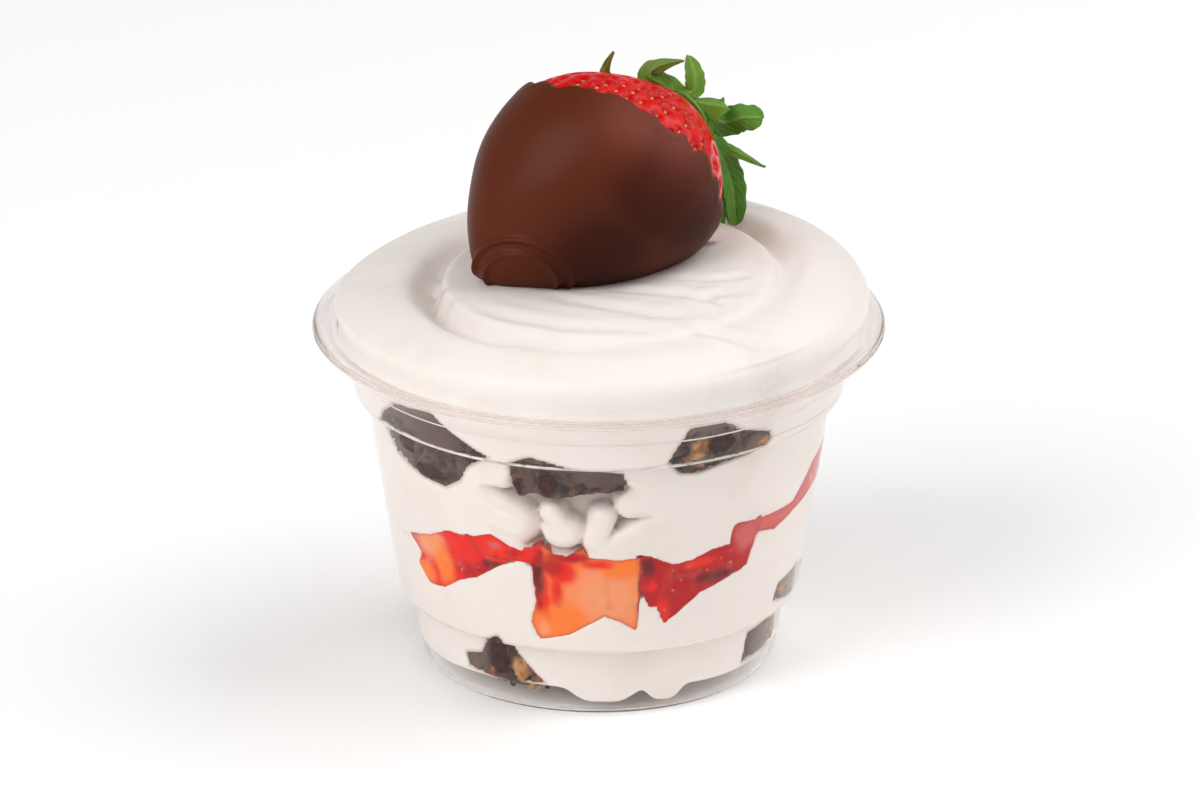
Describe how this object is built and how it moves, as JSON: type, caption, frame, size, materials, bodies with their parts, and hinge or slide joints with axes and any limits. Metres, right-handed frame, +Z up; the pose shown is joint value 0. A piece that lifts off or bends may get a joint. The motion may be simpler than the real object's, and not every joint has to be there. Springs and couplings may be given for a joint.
{
  "type": "brownie dessert cup",
  "caption": "Clear plastic dessert cup with layers of whipped cream, brownie pieces and strawberry slices, topped with a strawberry dipped in chocolate.",
  "frame": {"origin": "on the cup's axis, at the plane of the foot ring that the cup stands on", "axes": "+Z up along the cup's axis; +X to the right of the side that the picture shows, with -Y towards its camera"},
  "size_m": [0.098, 0.0976, 0.1037],
  "materials": {
    "clear_plastic": "clear and glossy",
    "whipped_cream": "soft satin",
    "brownie": "moist crumb",
    "strawberry_flesh": "wet and glossy",
    "strawberry_skin": "glossy with seeds",
    "chocolate": "satin",
    "strawberry_leaf": "satin leaf"
  },
  "bodies": {
    "root": {"brownie_lower_1": "brownie", "brownie_lower_2": "brownie", "brownie_lower_3": "brownie", "brownie_lower_4": "brownie", "brownie_lower_5": "brownie", "brownie_lower_6": "brownie", "brownie_upper_1": "brownie", "brownie_upper_2": "brownie", "brownie_upper_3": "brownie", "brownie_upper_4": "brownie", "brownie_upper_5": "brownie", "brownie_upper_6": "brownie", "calyx": "strawberry_leaf", "chocolate_coat": "chocolate", "cream_lower": "whipped_cream", "cream_middle": "whipped_cream", "cream_top": "whipped_cream", "cup": "clear_plastic", "strawberry": "strawberry_skin", "strawberry_slice_1": "strawberry_flesh", "strawberry_slice_2": "strawberry_flesh", "strawberry_slice_3": "strawberry_flesh", "strawberry_slice_4": "strawberry_flesh", "strawberry_slice_5": "strawberry_flesh", "strawberry_slice_6": "strawberry_flesh", "strawberry_slice_7": "strawberry_flesh", "strawberry_slice_8": "strawberry_flesh", "strawberry_slice_9": "strawberry_flesh"}
  },
  "joints": []
}
